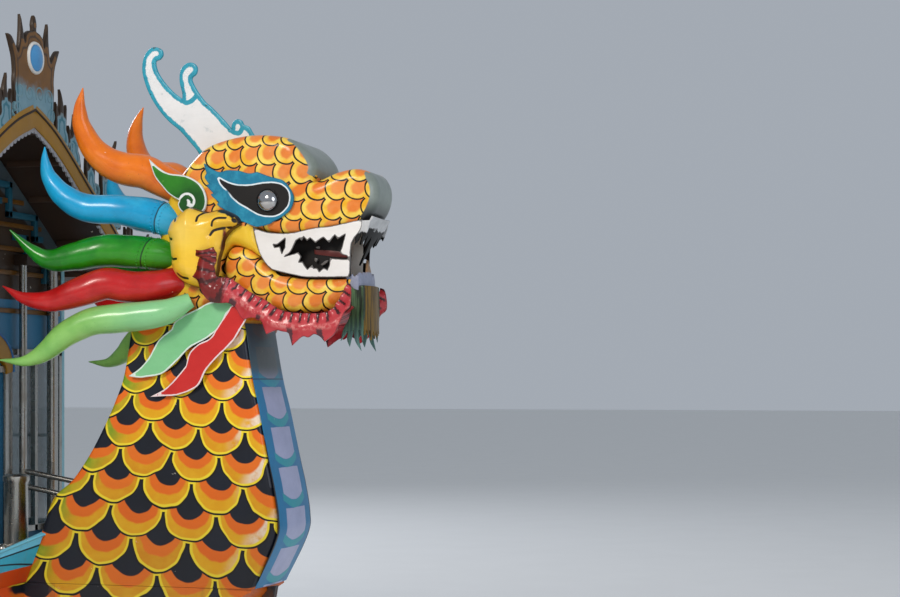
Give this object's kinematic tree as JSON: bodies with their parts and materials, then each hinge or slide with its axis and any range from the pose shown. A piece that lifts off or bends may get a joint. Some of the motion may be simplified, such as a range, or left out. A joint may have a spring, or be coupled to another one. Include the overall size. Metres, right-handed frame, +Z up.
{
  "type": "river tour boat with a dragon figurehead",
  "caption": "Single-hulled river tour boat with a painted sheet-metal dragon head and neck at the bow, a windowed cabin under a gabled roof, sliding doors, rudder and propeller.",
  "frame": {"origin": "on the centreline at the waterline, amidships", "axes": "+X to the bow, +Y to port, +Z up"},
  "size_m": [14.3532, 3.12, 4.48],
  "materials": {
    "dragon_scales": "enamel paint on sheet steel, scale pattern",
    "hull_paint": "enamel paint on steel plate",
    "strake_paint": "light blue enamel",
    "cream_paint": "cream enamel",
    "black_iron": "black paint on steel",
    "deck_paint": "worn brown deck paint",
    "dragon_gold": "enamel paint on sheet steel",
    "belly_paint": "blue and lilac enamel",
    "white_paint": "white enamel, worn",
    "black_paint": "black enamel",
    "ruffle_red": "red enamel with dark strokes",
    "beard_green": "dark green and olive enamel",
    "mane_orange": "glossy orange enamel",
    "mane_blue": "glossy blue enamel",
    "mane_green": "glossy green enamel",
    "mane_red": "glossy red enamel",
    "mane_mint": "pale green enamel",
    "ear_green": "green enamel with a white edge",
    "eye_steel": "polished steel ball on a painted patch",
    "cabin_paint": "pale blue enamel on steel posts and panels",
    "roof_paint": "blue roof sheeting",
    "fascia_paint": "ochre enamel",
    "window_glass": "clear glass",
    "seat_blue": "blue bench boxes",
    "rail_steel": "stainless tube",
    "bronze": "cast bronze",
    "engine_paint": "grey-green enamel"
  },
  "bodies": {
    "boat": {"hull": "hull_paint", "deck": "deck_paint", "bulwark": "strake_paint", "rub_rail": "cream_paint", "stem_and_keel": "black_iron", "bitt_fore": "black_iron", "bitt_aft": "black_iron", "neck": "dragon_scales", "neck_belly": "belly_paint", "skull": "dragon_gold", "lower_jaw": "dragon_gold", "horn": "white_paint", "upper_teeth": "black_paint", "lower_teeth": "black_paint", "beard": "beard_green", "chin_ruffle": "ruffle_red", "bulkhead_fore": "cabin_paint", "bulkhead_aft": "cabin_paint", "roof": "roof_paint", "gable_fore": "fascia_paint", "gable_aft": "fascia_paint", "bench_starboard": "seat_blue", "bench_port": "seat_blue", "helm_console": "cabin_paint", "engine_casing": "engine_paint", "dragon_tail": "dragon_gold", "mouth_plate_starboard": "white_paint", "mouth_plate_port": "white_paint", "cheek_starboard": "dragon_gold", "cheek_port": "dragon_gold", "ear_starboard": "ear_green", "ear_port": "ear_green", "eye_starboard": "eye_steel", "eye_port": "eye_steel", "cheek_leaves_starboard": "mane_mint", "cheek_leaves_port": "mane_mint", "mane_orange_starboard": "mane_orange", "mane_orange_port": "mane_orange", "mane_blue_starboard": "mane_blue", "mane_blue_port": "mane_blue", "mane_green_starboard": "mane_green", "mane_green_port": "mane_green", "mane_red_starboard": "mane_red", "mane_red_port": "mane_red", "mane_mint_starboard": "mane_mint", "mane_mint_port": "mane_mint", "cabin_side_starboard": "cabin_paint", "cabin_side_port": "cabin_paint", "cabin_glass_starboard": "window_glass", "cabin_glass_port": "window_glass", "hand_rail_starboard": "rail_steel", "hand_rail_port": "rail_steel"},
    "helm": {"helm_wheel": "rail_steel"},
    "fore_door": {"door_fore": "cabin_paint"},
    "aft_door": {"door_aft": "cabin_paint"},
    "screw": {"propeller": "bronze"},
    "rudder_blade": {"rudder": "black_iron"}
  },
  "joints": [
    {"name": "helm_turn", "type": "hinge", "parent": "boat", "child": "helm", "pos_m": [3.72, -0.62, 1.56], "axis": [0.9394, 0, -0.3429], "range_deg": [-540, 540]},
    {"name": "door_fore_slide", "type": "slide", "parent": "boat", "child": "fore_door", "axis": [0, 1, 0], "range_m": [0, 0.66]},
    {"name": "door_aft_slide", "type": "slide", "parent": "boat", "child": "aft_door", "axis": [0, 1, 0], "range_m": [0, 0.66]},
    {"name": "propeller_spin", "type": "hinge", "parent": "boat", "child": "screw", "pos_m": [-5.68, 0, -0.33], "axis": [1, 0, 0], "continuous": true},
    {"name": "rudder_turn", "type": "hinge", "parent": "boat", "child": "rudder_blade", "pos_m": [-6.33, 0, 0], "axis": [0, 0, 1], "range_deg": [-35, 35]}
  ],
  "couplings": [
    {"joint": "rudder_turn", "follows": "helm_turn", "ratio": 0.064815}
  ]
}
